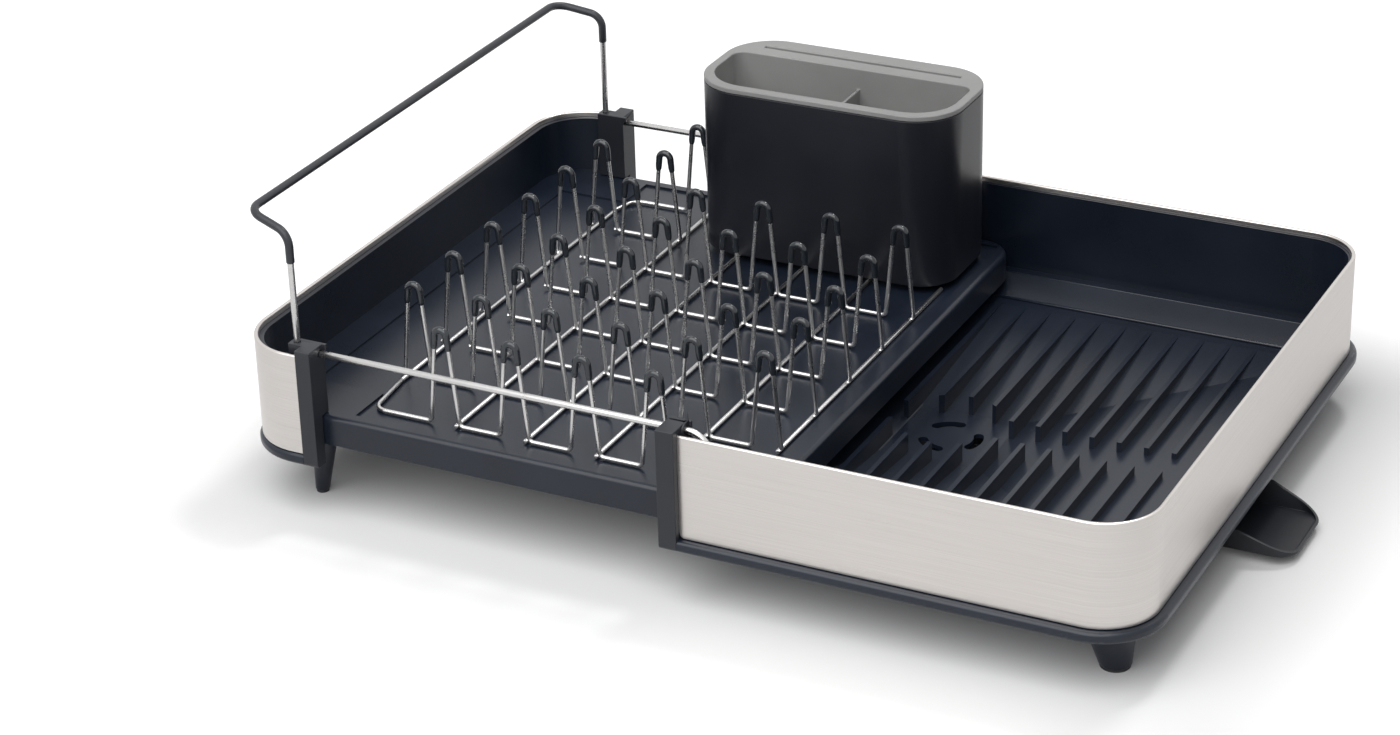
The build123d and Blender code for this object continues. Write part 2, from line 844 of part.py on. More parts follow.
# Soft tips on the prongs
def tip_sleeve(x, y):
    """A coat over the top of one prong."""
    touch_x = prong_tip_radius * cos(lean)
    touch_z = tip_centre_z + prong_tip_radius * sin(lean)
    drop = tip_length - prong_tip_radius
    low_x = touch_x + drop * sin(lean)
    low_z = touch_z - drop * cos(lean)
    with BuildLine(Plane.XZ.offset(-y), mode=Mode.PRIVATE) as path:
        Line((x - low_x, low_z), (x - touch_x, touch_z))
        ThreePointArc((x - touch_x, touch_z), (x, prong_top), (x + touch_x, touch_z))
        Line((x + touch_x, touch_z), (x + low_x, low_z))
    with BuildPart(mode=Mode.PRIVATE) as sleeve:
        with BuildSketch(Plane(origin=path.line @ 0, z_dir=path.line % 0)):
            Circle(wire / 2 + running + tip_coat)
            Circle(wire / 2 + running, mode=Mode.SUBTRACT)
        sweep(path=path.line)
    return sleeve.part


for name in row_names:
    sleeves = [tip_sleeve(columns[index], rows[name]) for index in row_columns[name]]
    save(f"rack_tips_{name}", Compound(children=sleeves))


# Cutlery holder: a tapered shell and a liner that drops into it
def holder_outline(height, inset):
    """Outline of the holder at a height, moved in by inset."""
    share = (holder_top - height) / (holder_top - holder_base)
    x_low = left + holder_start + share * holder_side_taper + inset
    x_high = left + holder_end - share * holder_far_taper - inset
    y_low = half - holder_front_from_back + share * holder_front_taper + inset
    y_high = half - holder_from_back - share * holder_back_taper - inset
    corner = holder_corner - share * holder_corner_taper - inset
    with BuildSketch(Plane.XY.offset(height), mode=Mode.PRIVATE) as outline:
        with Locations(((x_low + x_high) / 2, (y_low + y_high) / 2)):
            RectangleRounded(x_high - x_low, y_high - y_low, corner)
    return outline.sketch


def holder_solid(bottom, top, inset):
    """Tapered solid of the holder between two heights."""
    faces = [holder_outline(height, inset).face() for height in (bottom, top)]
    return loft(faces, mode=Mode.PRIVATE)


shell_top = holder_top - liner_rim
holder_x = (left + holder_start, left + holder_end)
holder_y = (half - holder_front_from_back, half - holder_from_back)
with BuildPart() as cutlery_shell:
    add(holder_solid(holder_base, shell_top, 0))
    add(
        holder_solid(holder_base + holder_floor, shell_top + fit, holder_wall),
        mode=Mode.SUBTRACT,
    )
    foot_xs = (holder_x[0] + holder_foot_inset, holder_x[1] - holder_foot_inset)
    foot_ys = (holder_y[0] + holder_foot_inset, holder_y[1] - holder_foot_inset)
    foot_z = recess_floor + seat
    with Locations([(x, y, foot_z) for x in foot_xs for y in foot_ys]):
        Cylinder(
            holder_foot_radius, holder_base - foot_z, align=(Align.CENTER, Align.CENTER, Align.MIN)
        )
save("cutlery_shell", cutlery_shell.part)

liner_bottom = holder_base + holder_floor + liner_floor_gap
cavity_x = (holder_x[0] + opening_side, holder_x[1] - opening_side)
cavity_y = (holder_y[0] + opening_front, holder_y[1] - opening_back)
cavity_middle = (sum(cavity_x) / 2, sum(cavity_y) / 2)


def liner_cup(bottom, top, grow):
    """The liner's cup, wider at its front corners than at its back ones."""
    taper = holder_side_taper * (holder_top - bottom) / (holder_top - holder_base)
    faces = []
    for height, draw in ((bottom, taper), (top, 0)):
        size_x = cavity_x[1] - cavity_x[0] - 2 * draw + 2 * grow
        size_y = cavity_y[1] - cavity_y[0] - 2 * draw + 2 * grow
        with BuildSketch(Plane.XY.offset(height), mode=Mode.PRIVATE) as outline:
            with Locations(cavity_middle):
                Rectangle(size_x, size_y)
            ordered = outline.vertices().sort_by(Axis.Y)
            fillet(ordered[:2], opening_front_corner + grow)
            back = outline.vertices().group_by(Axis.Y)[-1]
            fillet(back, opening_back_corner + grow)
        faces.append(outline.sketch.face())
    return loft(faces, mode=Mode.PRIVATE)


with BuildPart() as cutlery_liner:
    add(holder_solid(shell_top + fit, holder_top, 0))
    add(liner_cup(liner_bottom, holder_top, liner_wall))
    add(liner_cup(liner_bottom + liner_wall, holder_top + fit, 0), mode=Mode.SUBTRACT)
    divider_x = cavity_x[0] + divider_place_share * (cavity_x[1] - cavity_x[0])
    divider_y = (cavity_y[0] - liner_wall / 2, cavity_y[1] + liner_wall / 2)
    with BuildPart(mode=Mode.PRIVATE) as divider:
        add(
            box_between(
                (divider_x - divider_thick / 2, divider_x + divider_thick / 2),
                divider_y,
                (liner_bottom, holder_top - divider_drop),
            )
        )
        add(liner_cup(liner_bottom, holder_top, liner_wall / 2), mode=Mode.INTERSECT)
    add(divider.part)
    with Locations(((sum(holder_x) / 2, holder_y[1] - knife_slot_inset, holder_top))):
        Box(knife_slot_length, knife_slot_width, overrun, mode=Mode.SUBTRACT)
save("cutlery_liner", cutlery_liner.part)
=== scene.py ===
# %% [markdown]
# An expandable dish rack, dressed in Blender.
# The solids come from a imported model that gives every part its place. This lesson adds what a
# solid model leaves out: the camera and the light of a product picture, the finish of each
# material, and smoother or fuller shapes where a plain solid looks like a stand-in.

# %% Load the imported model
import json
import math

import bmesh
import bpy
import numpy as np
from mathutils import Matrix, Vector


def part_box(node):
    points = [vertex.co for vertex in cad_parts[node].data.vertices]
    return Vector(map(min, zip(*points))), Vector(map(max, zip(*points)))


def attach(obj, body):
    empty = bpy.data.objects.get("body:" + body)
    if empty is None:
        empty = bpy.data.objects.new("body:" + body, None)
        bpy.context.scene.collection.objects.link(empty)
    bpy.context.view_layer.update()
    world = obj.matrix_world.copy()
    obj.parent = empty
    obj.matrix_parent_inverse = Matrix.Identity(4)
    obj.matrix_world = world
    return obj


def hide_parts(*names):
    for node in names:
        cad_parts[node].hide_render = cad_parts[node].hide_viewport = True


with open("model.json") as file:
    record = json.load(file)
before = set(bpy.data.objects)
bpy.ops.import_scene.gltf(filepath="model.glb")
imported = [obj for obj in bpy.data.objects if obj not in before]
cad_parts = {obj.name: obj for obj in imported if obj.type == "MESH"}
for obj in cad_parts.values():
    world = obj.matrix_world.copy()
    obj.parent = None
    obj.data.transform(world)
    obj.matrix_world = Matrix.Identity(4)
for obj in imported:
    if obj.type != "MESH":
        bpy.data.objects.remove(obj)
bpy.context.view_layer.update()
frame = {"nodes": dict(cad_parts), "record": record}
nodes = frame["nodes"]

# %% [markdown]
# The camera stands where the picture was taken: in front of the rack, a little to its right,
# looking down at it from about one and a half metres. A long lens keeps the verticals nearly
# parallel, as product pictures have them.

# %% Camera at the picture's angle
MM = 0.001
camera_data = bpy.data.cameras.new("picture_camera")
camera_data.sensor_fit = "HORIZONTAL"
camera_data.sensor_width = 36.0
camera_data.lens = 88.26
camera = bpy.data.objects.new("picture_camera", camera_data)
camera.location = (0.68676, -1.48645, 0.86371)
camera.rotation_euler = [math.radians(angle) for angle in (63.58, 1.45, 26.58)]
bpy.context.scene.collection.objects.link(camera)
bpy.context.scene.camera = camera
print("lens", camera_data.lens, "mm, camera height", round(camera.location.z, 3), "m")

# %% [markdown]
# Product pictures of metal are taken in a white tent, so that bent sheet reflects one broad white
# field. The world is that tent: what is seen in it, directly or in a reflection, is white, while
# what it adds to matt surfaces is weaker. A very wide panel above and in front of the rack
# lights the floor a little way in under the trays, so the shadow is soft and close. A small
# weak one behind gives the wires and rounded edges their bright points.

# %% World and lamps
scene = bpy.context.scene
scene.view_settings.view_transform = "Standard"
world = bpy.data.worlds.new("white_tent")
world.use_nodes = True
scene.world = world


def seen_rays(tree):
    """Light Path's camera, glossy and transmission rays in one factor: the greatest of the three."""
    path = tree.nodes.new("ShaderNodeLightPath")
    factor = path.outputs["Is Camera Ray"]
    for other in ("Is Glossy Ray", "Is Transmission Ray"):
        greater = tree.nodes.new("ShaderNodeMath")
        greater.operation = "MAXIMUM"
        tree.links.new(factor, greater.inputs[0])
        tree.links.new(path.outputs[other], greater.inputs[1])
        factor = greater.outputs[0]
    return factor


tent_tree = world.node_tree
tent_tree.nodes.clear()
tent_out = tent_tree.nodes.new("ShaderNodeOutputWorld")
tent_light = tent_tree.nodes.new("ShaderNodeBackground")
tent_white = tent_tree.nodes.new("ShaderNodeBackground")
tent_light.inputs["Color"].default_value = (0.97, 0.98, 1.0, 1.0)
tent_light.inputs["Strength"].default_value = 0.16
tent_white.inputs["Color"].default_value = (1.0, 1.0, 1.0, 1.0)
tent_white.inputs["Strength"].default_value = 1.0
choose_wall = tent_tree.nodes.new("ShaderNodeMixShader")
tent_tree.links.new(seen_rays(tent_tree), choose_wall.inputs["Fac"])
tent_tree.links.new(tent_light.outputs[0], choose_wall.inputs[1])
tent_tree.links.new(tent_white.outputs[0], choose_wall.inputs[2])
tent_tree.links.new(choose_wall.outputs[0], tent_out.inputs["Surface"])


def soft_panel(name, place, aim, size, watts):
    """A square area lamp at place, turned so that its -Z axis points at aim."""
    data = bpy.data.lights.new(name, "AREA")
    data.shape = "SQUARE"
    data.size = size
    data.energy = watts
    lamp = bpy.data.objects.new(name, data)
    lamp.location = place
    direction = np.array(aim, float) - np.array(place, float)
    across = math.atan2(direction[1], direction[0])
    down = math.acos(-direction[2] / np.linalg.norm(direction))
    lamp.rotation_euler = (down, 0.0, across - math.radians(90))
    scene.collection.objects.link(lamp)
    return lamp


soft_panel("panel_front", (-0.15, -1.5, 2.3), (0.0, 0.0, 0.0), 3.4, 92.0)
soft_panel("panel_back", (0.3, 1.0, 2.2), (0.0, 0.1, 0.0), 0.4, 12.0)

# %% [markdown]
# The floor is a white sheet that the lamps nearly whiten by themselves. A white of its own, for seen rays only, grows
# over the first 12 centimetres away from the rack's outline where the camera looks straight at it. Held low next to
# the rack, it leaves a band of painted shade round the rack's outline, which deepens the lamps' shadow there. It
# brings the open sheet to the tent's white. Far from the lamps the sheet's own white grows on, so that it meets the
# tent without a line.

# %% Floor
floor_mesh = bpy.data.meshes.new("studio_floor")
reach = 6.0
floor_mesh.from_pydata(
    [(-reach, -reach, 0.0), (reach, -reach, 0.0), (reach, reach, 0.0), (-reach, reach, 0.0)], [], [(0, 1, 2, 3)]
)
floor = bpy.data.objects.new("studio_floor", floor_mesh)
scene.collection.objects.link(floor)
floor_material = bpy.data.materials.new("white_sheet")
floor_material.use_nodes = True
floor_tree = floor_material.node_tree
floor_tree.nodes.clear()
floor_out = floor_tree.nodes.new("ShaderNodeOutputMaterial")
lit_sheet = floor_tree.nodes.new("ShaderNodeBsdfDiffuse")
lit_sheet.inputs["Color"].default_value = (0.86, 0.86, 0.86, 1.0)
dark = floor_tree.nodes.new("ShaderNodeEmission")
dark.inputs["Strength"].default_value = 0.0
own_white = floor_tree.nodes.new("ShaderNodeEmission")
sheet_place = floor_tree.nodes.new("ShaderNodeTexCoord")
past_rack = sheet_place.outputs["Object"]
for operation, other in (("ABSOLUTE", None), ("SUBTRACT", (0.264, 0.182, 0.0)), ("MAXIMUM", (0.0, 0.0, 0.0))):
    step = floor_tree.nodes.new("ShaderNodeVectorMath")
    step.operation = operation
    floor_tree.links.new(past_rack, step.inputs[0])
    if other:
        step.inputs[1].default_value = other
    past_rack = step.outputs["Vector"]
distance = floor_tree.nodes.new("ShaderNodeVectorMath")
distance.operation = "LENGTH"
floor_tree.links.new(past_rack, distance.inputs[0])
# Painted shade: this mask keeps the floor's own white low within 12 cm of the rack's outline, so the floor there is
# drawn darker than the open sheet.
painted_shade_fade = floor_tree.nodes.new("ShaderNodeMapRange")
painted_shade_fade.interpolation_type = "SMOOTHSTEP"
painted_shade_fade.inputs["From Max"].default_value = 0.12
painted_shade_fade.inputs["To Min"].default_value = 0.0
painted_shade_fade.inputs["To Max"].default_value = 0.36
floor_tree.links.new(distance.outputs["Value"], painted_shade_fade.inputs["Value"])
far_white = floor_tree.nodes.new("ShaderNodeMapRange")
far_white.inputs["From Min"].default_value = 0.4
far_white.inputs["From Max"].default_value = 3.0
far_white.inputs["To Max"].default_value = 0.9
floor_tree.links.new(distance.outputs["Value"], far_white.inputs["Value"])
all_white = floor_tree.nodes.new("ShaderNodeMath")
floor_tree.links.new(painted_shade_fade.outputs["Result"], all_white.inputs[0])
floor_tree.links.new(far_white.outputs["Result"], all_white.inputs[1])
seen = floor_tree.nodes.new("ShaderNodeLightPath")
camera_white = floor_tree.nodes.new("ShaderNodeMath")
camera_white.operation = "MULTIPLY_ADD"
floor_tree.links.new(all_white.outputs["Value"], camera_white.inputs[0])
floor_tree.links.new(seen.outputs["Is Camera Ray"], camera_white.inputs[1])
camera_white.inputs[2].default_value = 0.03
floor_tree.links.new(camera_white.outputs["Value"], own_white.inputs["Strength"])
show_white = floor_tree.nodes.new("ShaderNodeMixShader")
both = floor_tree.nodes.new("ShaderNodeAddShader")
link = floor_tree.links.new
link(seen_rays(floor_tree), show_white.inputs["Fac"])
link(dark.outputs[0], show_white.inputs[1])
link(own_white.outputs[0], show_white.inputs[2])
link(show_white.outputs[0], both.inputs[0])
link(lit_sheet.outputs[0], both.inputs[1])
link(both.outputs[0], floor_out.inputs["Surface"])
floor_mesh.materials.append(floor_material)
print("floor reaches", reach, "m each way")

# %% [markdown]
# Two effects return in most of the rack's materials, so each is a node group. Moulded plastic
# has a fine even grain and slow changes of gloss where hands and water have been. Brushed sheet
# has long thin scratches, all in one direction, that a noise stretched along them gives.

# %% Shared effect: grain of moulded plastic
def new_group(name, inputs, outputs):
    """An empty shader group with float or vector sockets named in inputs and outputs."""
    group = bpy.data.node_groups.new(name, "ShaderNodeTree")
    for socket, kind, value in inputs:
        made = group.interface.new_socket(socket, in_out="INPUT", socket_type=kind)
        if value is not None:
            made.default_value = value
    for socket, kind in outputs:
        group.interface.new_socket(socket, in_out="OUTPUT", socket_type=kind)
    start = group.nodes.new("NodeGroupInput")
    end = group.nodes.new("NodeGroupOutput")
    return group, start, end


def noise_in(tree, vector, scale, detail=2.0, roughness=0.5):
    """A Noise Texture node fed by vector; scale counts features in a metre."""
    node = tree.nodes.new("ShaderNodeTexNoise")
    node.inputs["Scale"].default_value = scale
    node.inputs["Detail"].default_value = detail
    node.inputs["Roughness"].default_value = roughness
    tree.links.new(vector, node.inputs["Vector"])
    return node


def math_in(tree, operation, first, second):
    """A Math node; each operand is a socket or a number."""
    node = tree.nodes.new("ShaderNodeMath")
    node.operation = operation
    for index, value in enumerate((first, second)):
        if isinstance(value, (int, float)):
            node.inputs[index].default_value = value
        else:
            tree.links.new(value, node.inputs[index])
    return node.outputs[0]


grain, grain_in, grain_out = new_group(
    "moulded_grain",
    [("Vector", "NodeSocketVector", None), ("Gloss", "NodeSocketFloat", 0.45), ("Handling", "NodeSocketFloat", 0.08)],
    [("Height", "NodeSocketFloat"), ("Roughness", "NodeSocketFloat"), ("Cloud", "NodeSocketFloat")],
)
fine = noise_in(grain, grain_in.outputs["Vector"], 1500.0, 3.0, 0.6)
cloud = noise_in(grain, grain_in.outputs["Vector"], 14.0, 4.0, 0.55)
centred = math_in(grain, "SUBTRACT", cloud.outputs["Fac"], 0.5)
spread = math_in(grain, "MULTIPLY", centred, grain_in.outputs["Handling"])
fine_centred = math_in(grain, "SUBTRACT", fine.outputs["Fac"], 0.5)
fine_spread = math_in(grain, "MULTIPLY", fine_centred, 0.1)
rough_sum = math_in(grain, "ADD", grain_in.outputs["Gloss"], spread)
rough_total = math_in(grain, "ADD", rough_sum, fine_spread)
grain.links.new(fine.outputs["Fac"], grain_out.inputs["Height"])
grain.links.new(rough_total, grain_out.inputs["Roughness"])
grain.links.new(cloud.outputs["Fac"], grain_out.inputs["Cloud"])
print("group", grain.name, "has", len(grain.nodes), "nodes")

# %% Shared effect: brushed scratches
brushed, brushed_in, brushed_out = new_group(
    "brushed_lines",
    [("Vector", "NodeSocketVector", None), ("Across", "NodeSocketVector", (12.0, 12.0, 2600.0))],
    [("Line", "NodeSocketFloat"), ("Patch", "NodeSocketFloat")],
)
stretch = brushed.nodes.new("ShaderNodeVectorMath")
stretch.operation = "MULTIPLY"
brushed.links.new(brushed_in.outputs["Vector"], stretch.inputs[0])
brushed.links.new(brushed_in.outputs["Across"], stretch.inputs[1])
scratches = noise_in(brushed, stretch.outputs[0], 1.0, 5.0, 0.75)
patches = noise_in(brushed, brushed_in.outputs["Vector"], 9.0, 3.0, 0.5)
brushed.links.new(scratches.outputs["Fac"], brushed_out.inputs["Line"])
brushed.links.new(patches.outputs["Fac"], brushed_out.inputs["Patch"])
print("group", brushed.name, "has", len(brushed.nodes), "nodes")


# %% [markdown]
# Each material is one Principled shader. What is the same all over the surface is set on its
# own sockets; only what changes over the surface, such as grain, scratches and slow colour
# changes, comes through links.

# %% A material with its shader, coordinates and output
def finish_of(name, colour, roughness, metallic=0.0, specular=0.5):
    """A material with a Principled shader set to plain values, and its Object coordinates."""
    material = bpy.data.materials.new(name)
    material.use_nodes = True
    tree = material.node_tree
    tree.nodes.clear()
    output = tree.nodes.new("ShaderNodeOutputMaterial")
    shader = tree.nodes.new("ShaderNodeBsdfPrincipled")
    tree.links.new(shader.outputs[0], output.inputs["Surface"])
    shader.inputs["Base Color"].default_value = (*colour, 1.0)
    shader.inputs["Roughness"].default_value = roughness
    shader.inputs["Metallic"].default_value = metallic
    shader.inputs["Specular IOR Level"].default_value = specular
    place = tree.nodes.new("ShaderNodeTexCoord").outputs["Object"]
    return material, tree, shader, place


def colour_between(tree, shader, factor, dark_colour, light_colour):
    """Base Color runs from dark_colour to light_colour as factor runs from 0.35 to 0.65."""
    ramp = tree.nodes.new("ShaderNodeValToRGB")
    ramp.color_ramp.elements[0].position = 0.35
    ramp.color_ramp.elements[1].position = 0.65
    ramp.color_ramp.elements[0].color = (*dark_colour, 1.0)
    ramp.color_ramp.elements[1].color = (*light_colour, 1.0)
    tree.links.new(factor, ramp.inputs["Fac"])
    tree.links.new(ramp.outputs["Color"], shader.inputs["Base Color"])


def bumped(tree, shader, height, depth):
    """A Bump node that turns height into a relief of depth metres."""
    bump = tree.nodes.new("ShaderNodeBump")
    bump.inputs["Strength"].default_value = 1.0
    bump.inputs["Distance"].default_value = depth
    tree.links.new(height, bump.inputs["Height"])
    tree.links.new(bump.outputs["Normal"], shader.inputs["Normal"])


def plastic_finish(name, dark_colour, light_colour, gloss, handling=0.1, relief=0.00002, specular=0.42):
    """Moulded plastic: the grain group drives roughness and relief, its cloud the colour."""
    material, tree, shader, place = finish_of(name, light_colour, gloss, 0.0, specular)
    group = tree.nodes.new("ShaderNodeGroup")
    group.node_tree = grain
    tree.links.new(place, group.inputs["Vector"])
    group.inputs["Gloss"].default_value = gloss
    group.inputs["Handling"].default_value = handling
    colour_between(tree, shader, group.outputs["Cloud"], dark_colour, light_colour)
    tree.links.new(group.outputs["Roughness"], shader.inputs["Roughness"])
    bumped(tree, shader, group.outputs["Height"], relief)
    return material


# %% [markdown]
# The trays are a dark blue-black plastic with a satin face: nearly black on the walls, and a
# grey-blue where a flat floor mirrors the white room. The holder is smoother and closer to
# navy, its liner a mid grey.

# %% Plastics and rubber
tray_plastic = plastic_finish("tray_plastic", (0.006, 0.0095, 0.018), (0.010, 0.015, 0.027), 0.30, 0.10, 0.000006)
spout_plastic = plastic_finish("spout_plastic", (0.010, 0.012, 0.016), (0.015, 0.017, 0.022), 0.38)
post_plastic = plastic_finish("post_plastic", (0.014, 0.016, 0.021), (0.020, 0.022, 0.029), 0.40)
holder_plastic = plastic_finish("holder_plastic", (0.008, 0.009, 0.014), (0.012, 0.013, 0.019), 0.30, 0.06, 0.000006)
liner_plastic = plastic_finish("liner_plastic", (0.26, 0.258, 0.255), (0.31, 0.308, 0.304), 0.48)
tip_coat = plastic_finish("tip_coat", (0.014, 0.018, 0.024), (0.024, 0.029, 0.036), 0.10, 0.04, 0.000002, 0.6)
hoop_coat = plastic_finish("hoop_coat", (0.020, 0.022, 0.027), (0.030, 0.033, 0.040), 0.38, 0.06, 0.000008)
pad_rubber = plastic_finish("pad_rubber", (0.020, 0.020, 0.022), (0.035, 0.035, 0.037), 0.70, 0.1, 0.00004)
print("plastics ready")


# %% [markdown]
# The bands are bent from brushed stainless sheet. The scratches run level, so on Object
# coordinates the noise is stretched along X and Y and packed close along Z, which also carries
# it round the bent corners. Bright wire is drawn and polished, with only faint marks.

# %% Metals
def brushed_finish(name, dark_colour, light_colour, roughness, across, relief):
    """Brushed metal: the line group drives colour, roughness and relief."""
    material, tree, shader, place = finish_of(name, light_colour, roughness, 1.0)
    group = tree.nodes.new("ShaderNodeGroup")
    group.node_tree = brushed
    tree.links.new(place, group.inputs["Vector"])
    group.inputs["Across"].default_value = across
    colour_between(tree, shader, group.outputs["Line"], dark_colour, light_colour)
    lines = math_in(tree, "MULTIPLY", group.outputs["Line"], 0.16)
    marks = math_in(tree, "MULTIPLY", group.outputs["Patch"], 0.08)
    change = math_in(tree, "ADD", lines, marks)
    total = math_in(tree, "ADD", change, roughness - 0.12)
    tree.links.new(total, shader.inputs["Roughness"])
    bumped(tree, shader, group.outputs["Line"], relief)
    return material


band_steel = brushed_finish(
    "band_steel", (0.600, 0.568, 0.545), (0.680, 0.648, 0.622), 0.30, (12.0, 12.0, 2600.0), 0.000004
)
wire_steel = brushed_finish(
    "wire_steel", (0.60, 0.595, 0.59), (0.66, 0.655, 0.65), 0.28, (90.0, 90.0, 90.0), 0.0000002
)
fastener_steel = brushed_finish(
    "fastener_steel", (0.50, 0.50, 0.50), (0.62, 0.62, 0.62), 0.35, (900.0, 900.0, 60.0), 0.000004
)
print("metals ready")

# %% Give each solid its finish
finishes = {
    "tray_plastic": tray_plastic,
    "band_steel": band_steel,
    "wire_steel": wire_steel,
    "tip_coat": tip_coat,
    "hoop_coat": hoop_coat,
    "holder_plastic": holder_plastic,
    "liner_plastic": liner_plastic,
    "pad_rubber": pad_rubber,
    "spout_plastic": spout_plastic,
    "fastener_steel": fastener_steel,
}
slot_of = {item["node"]: item["material_slot"] for item in frame["record"]["subparts"]}
for name, solid in nodes.items():
    finish = post_plastic if name.endswith("_post") else finishes[slot_of[name]]
    solid.data.materials.clear()
    solid.data.materials.append(finish)
print("finishes given to", len(nodes), "solids")

# %% [markdown]
# The solids have sharp edges, and a sharp edge catches no light. Moulded and cast pieces have
# edges rounded by a few tenths of a millimetre, and that thin bright line is much of what makes
# them look real. A copy of each such solid has its loose triangles joined, its flat areas made
# one face each, and a Bevel modifier that rounds every edge sharper than 45 degrees.

# %% Rounded copies of the moulded pieces
body_of_node = {node: body for body, members in frame["record"]["behaviour"]["bodies"].items() for node in members}


def rounded_copy(node, width, finish, segments=2):
    """A copy of a solid with its edges rounded by width millimetres, riding where the solid does."""
    mesh = nodes[node].data.copy()
    mesh.name = f"{node}_rounded"
    shape = bmesh.new()
    shape.from_mesh(mesh)
    bmesh.ops.remove_doubles(shape, verts=shape.verts[:], dist=0.000002)
    bmesh.ops.dissolve_limit(
        shape, angle_limit=math.radians(0.6), verts=shape.verts[:], edges=shape.edges[:], delimit={"NORMAL"}
    )
    shape.to_mesh(mesh)
    shape.free()
    mesh.shade_smooth()
    mesh.set_sharp_from_angle(angle=math.radians(34))
    mesh.materials.clear()
    mesh.materials.append(finish)
    copy = bpy.data.objects.new(f"{node}_rounded", mesh)
    scene.collection.objects.link(copy)
    bevel = copy.modifiers.new("edge", "BEVEL")
    bevel.width = width * MM
    bevel.segments = segments
    bevel.limit_method = "ANGLE"
    bevel.angle_limit = math.radians(45)
    bevel.harden_normals = True
    bevel.use_clamp_overlap = False
    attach(copy, body_of_node[node])
    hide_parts(node)
    return copy


edge_rounding = {
    "drain_spout": 0.3, "cutlery_shell": 0.4, "cutlery_liner": 0.7,
    "outer_front_post": 0.4, "outer_back_post": 0.4, "inner_front_post": 0.4, "inner_back_post": 0.4,
    "outer_front_foot": 0.6, "outer_back_foot": 0.6, "inner_front_foot": 0.5, "inner_back_foot": 0.5,
    "outer_front_pad": 0.4, "outer_back_pad": 0.4, "inner_front_pad": 0.4, "inner_back_pad": 0.4,
    "spout_washer": 0.2, "spout_screw": 0.3,
}
for node, width in edge_rounding.items():
    copy = rounded_copy(node, width, nodes[node].data.materials[0])
    print(copy.name, "faces before the bevel:", len(copy.data.polygons))


# %% [markdown]
# The next pieces are surfaces worked out as whole arrays of points. A wire is a circle carried
# along a path, and its path is straight runs joined by arcs, as a bending machine makes it.

# %% A bent path, and a new piece from points
def bent_path(corners, radii, steps=8):
    """Points and unit tangents along straight runs that are joined by arcs.

    At a corner P between unit directions a and b, which turn by the angle q, n is the unit part of b
    at right angles to a. The arc of radius r starts at S = P - a r tan(q / 2), and its points are
    S + n r (1 - cos f) + a r sin f for f from 0 to q, with tangent a cos f + n sin f.
    """
    corners = np.asarray(corners, float)
    runs = np.diff(corners, axis=0)
    along = runs / np.linalg.norm(runs, axis=1, keepdims=True)
    a, b = along[:-1], along[1:]
    cosine = (a * b).sum(1, keepdims=True)
    q = np.arccos(np.clip(cosine[:, 0], -1.0, 1.0))
    n = b - a * cosine
    n /= np.linalg.norm(n, axis=1, keepdims=True)
    r = np.broadcast_to(np.asarray(radii, float), q.shape)
    start = corners[1:-1] - a * (r * np.tan(q / 2))[:, None]
    f = np.linspace(0.0, 1.0, steps + 1)[None, :, None] * q[:, None, None]
    arcs = start[:, None] + r[:, None, None] * (n[:, None] * (1 - np.cos(f)) + a[:, None] * np.sin(f))
    turned = a[:, None] * np.cos(f) + n[:, None] * np.sin(f)
    points = np.concatenate([corners[:1], arcs.reshape(-1, 3), corners[-1:]])
    tangents = np.concatenate([along[:1], turned.reshape(-1, 3), along[-1:]])
    return points, tangents


def grid_quads(rows, columns):
    """Quads (i, j), (i, j+1), (i+1, j+1), (i+1, j) of a grid whose last column joins its first."""
    i, j = np.meshgrid(np.arange(rows - 1), np.arange(columns), indexing="ij")
    k = (j + 1) % columns
    quads = [i * columns + j, i * columns + k, (i + 1) * columns + k, (i + 1) * columns + j]
    return np.stack(quads, -1).reshape(-1, 4)


def new_piece(name, body, points, faces, finish, replaced=()):
    """A mesh piece from points in millimetres, with its faces turned outwards, riding on a body."""
    mesh = bpy.data.meshes.new(name)
    mesh.from_pydata((np.asarray(points) * MM).tolist(), [], faces)
    shape = bmesh.new()
    shape.from_mesh(mesh)
    bmesh.ops.recalc_face_normals(shape, faces=shape.faces[:])
    shape.to_mesh(mesh)
    shape.free()
    mesh.shade_smooth()
    mesh.set_sharp_from_angle(angle=math.radians(40))
    mesh.materials.append(finish)
    piece = bpy.data.objects.new(name, mesh)
    scene.collection.objects.link(piece)
    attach(piece, body)
    if replaced:
        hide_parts(*replaced)
    return piece


def tube(rings):
    """Points and faces of a closed tube from rings, an array of (ring, place in the ring, xyz)."""
    rows, columns = rings.shape[:2]
    quads = grid_quads(rows, columns).tolist()
    caps = [list(range(columns)), list(range((rows - 1) * columns, rows * columns))]
    return rings.reshape(-1, 3), quads + caps


def gathered(parts):
    """Several (points, faces) in one: the faces of each part count on from the parts before it."""
    points, faces, count = [], [], 0
    for part_points, part_faces in parts:
        points.append(part_points)
        faces += [[corner + count for corner in face] for face in part_faces]
        count += len(part_points)
    return np.concatenate(points), faces


# %% [markdown]
# A cut wire end is never quite flat, because it is tumbled or dipped: it has a low dome.

